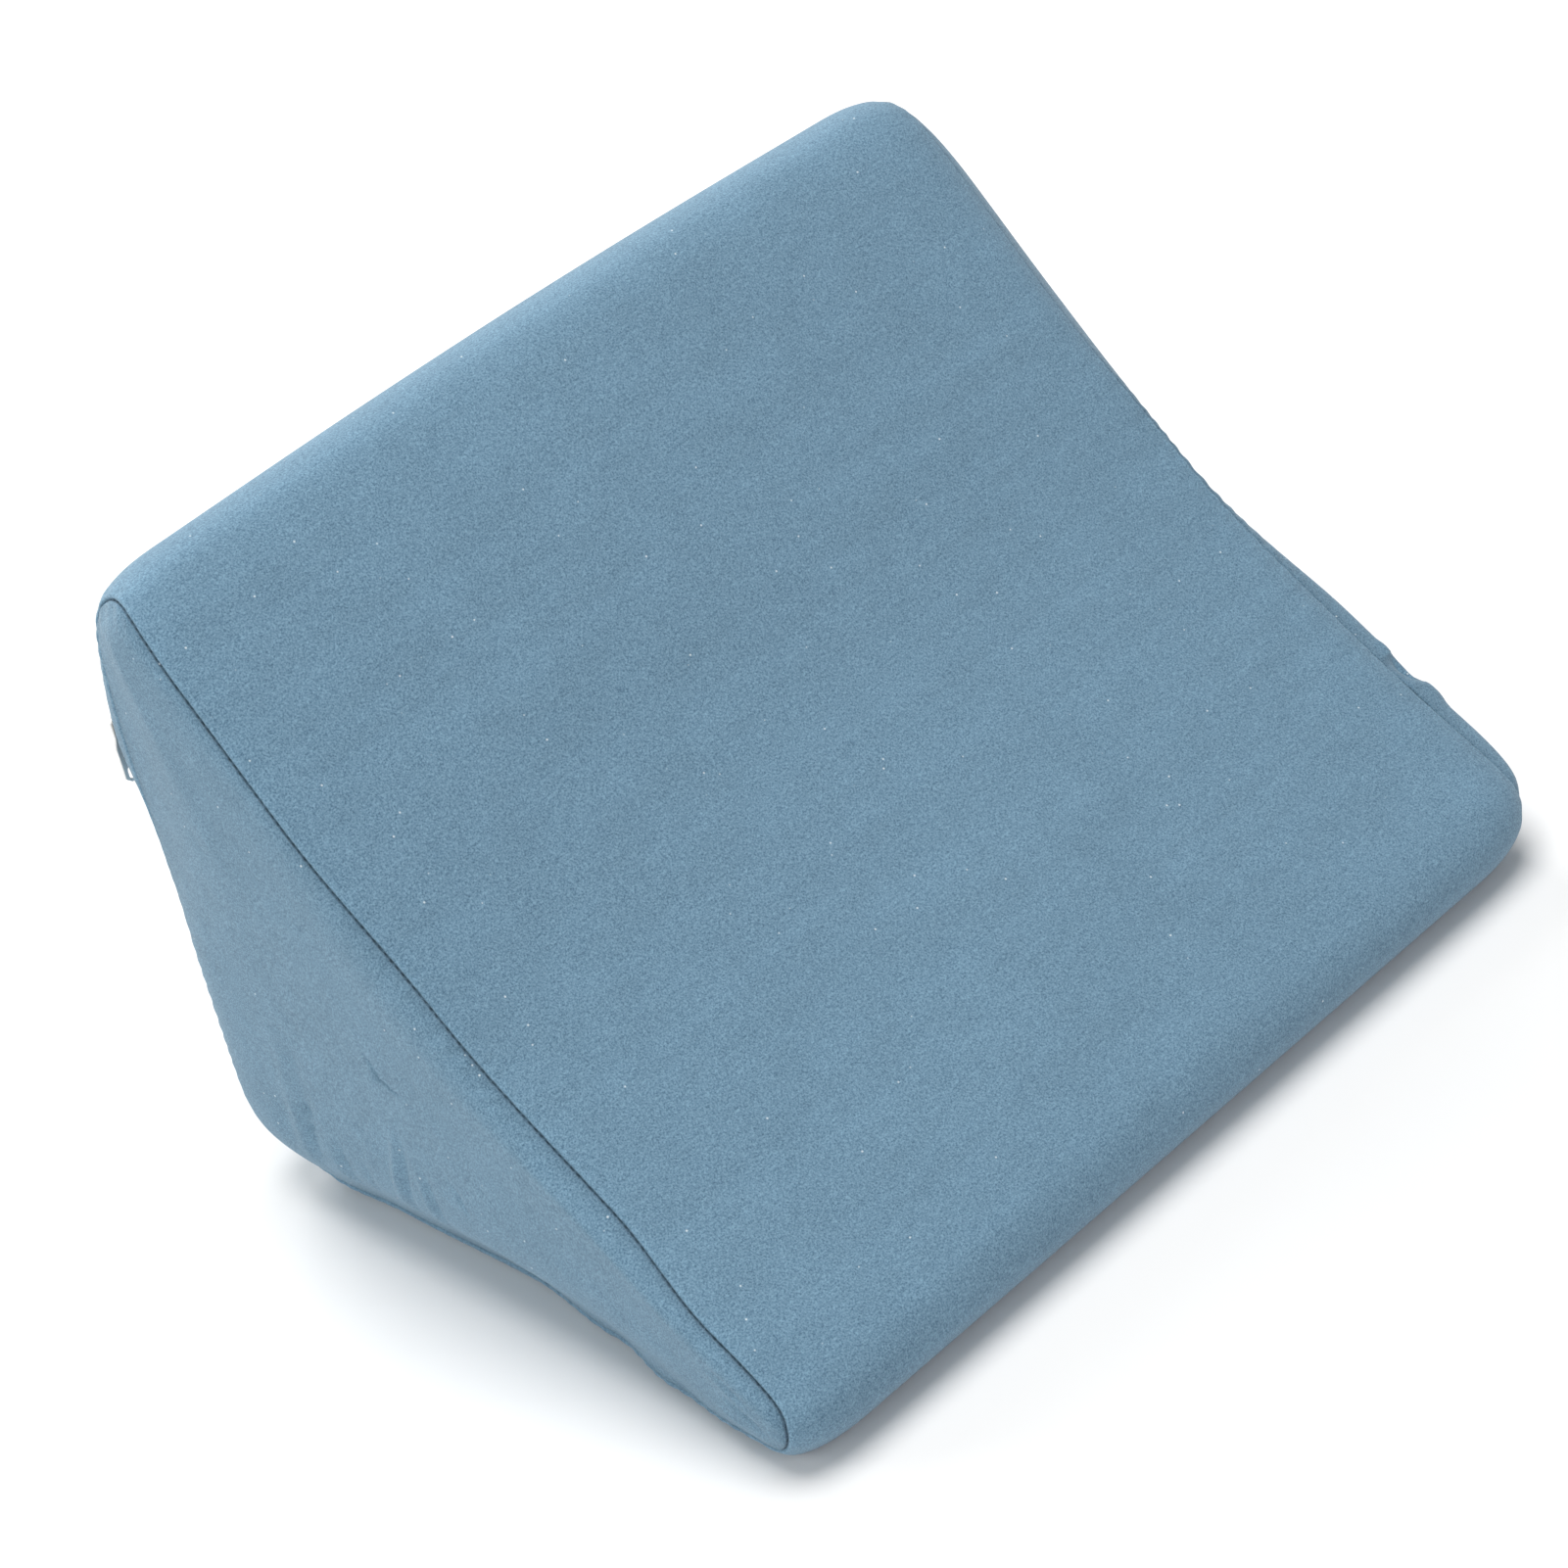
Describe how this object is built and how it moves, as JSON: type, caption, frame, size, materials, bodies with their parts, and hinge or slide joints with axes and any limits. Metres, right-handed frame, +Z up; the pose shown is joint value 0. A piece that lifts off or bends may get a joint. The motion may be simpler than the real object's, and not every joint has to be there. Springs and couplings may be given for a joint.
{
  "type": "wedge pillow",
  "caption": "Cloth-covered foam wedge that stands on its flat base and gives a sloping rest for the back or legs, with side gussets and a zip across the back.",
  "frame": {"origin": "on the floor, under the middle of the object's box", "axes": "+Z up, +X across the width, -Y towards the thin nose, +Y towards the tall back"},
  "size_m": [0.4734, 0.351, 0.3065],
  "materials": {
    "cover_cloth": "matt brushed cloth, dusty blue",
    "zip_tape_weave": "woven zip tape, dark blue",
    "zip_coil_nylon": "nylon coil, satin",
    "zip_metal": "plated zinc, satin grey"
  },
  "bodies": {
    "root": {"cushion": "cover_cloth", "zip_tape": "zip_tape_weave", "zip_chain": "zip_coil_nylon", "zip_slider": "zip_metal", "zip_pull": "zip_metal"}
  },
  "joints": []
}
